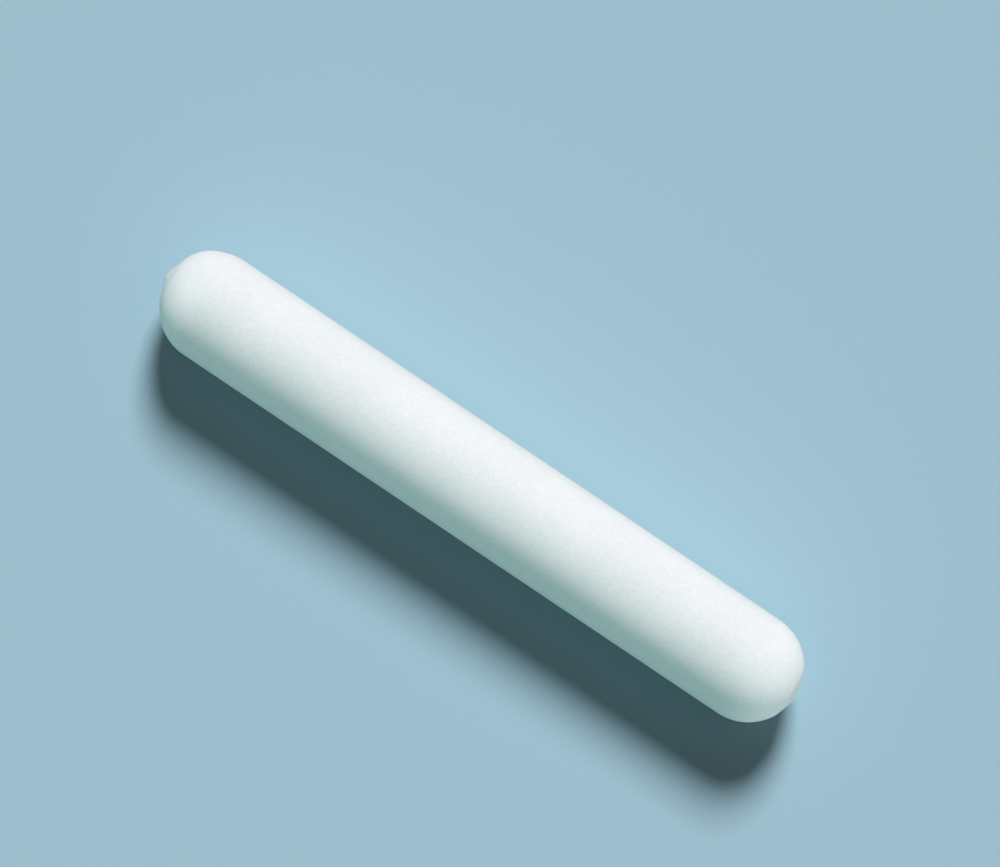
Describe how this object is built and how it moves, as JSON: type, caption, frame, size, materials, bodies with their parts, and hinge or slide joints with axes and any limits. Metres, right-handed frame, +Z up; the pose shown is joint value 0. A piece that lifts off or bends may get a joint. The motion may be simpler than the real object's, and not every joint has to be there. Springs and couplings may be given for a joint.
{
  "type": "magnetic stir bar",
  "caption": "Smooth white cylindrical stir bar with rounded ends that come to a very blunt tip: a rod magnet sealed in a PTFE jacket, spun by a magnetic stirrer to mix a liquid.",
  "frame": {"origin": "the middle of the bar, on its own axis; in use the bar spins about the vertical through it", "axes": "+X along the bar, +Z up"},
  "size_m": [0.0406, 0.006, 0.006],
  "materials": {
    "white_ptfe": "moulded and sintered PTFE, milky white, waxy low sheen",
    "cast_magnet": "cast aluminium-nickel-cobalt alloy, ground round the outside"
  },
  "bodies": {
    "root": {"jacket": "white_ptfe", "magnet": "cast_magnet"}
  },
  "joints": []
}
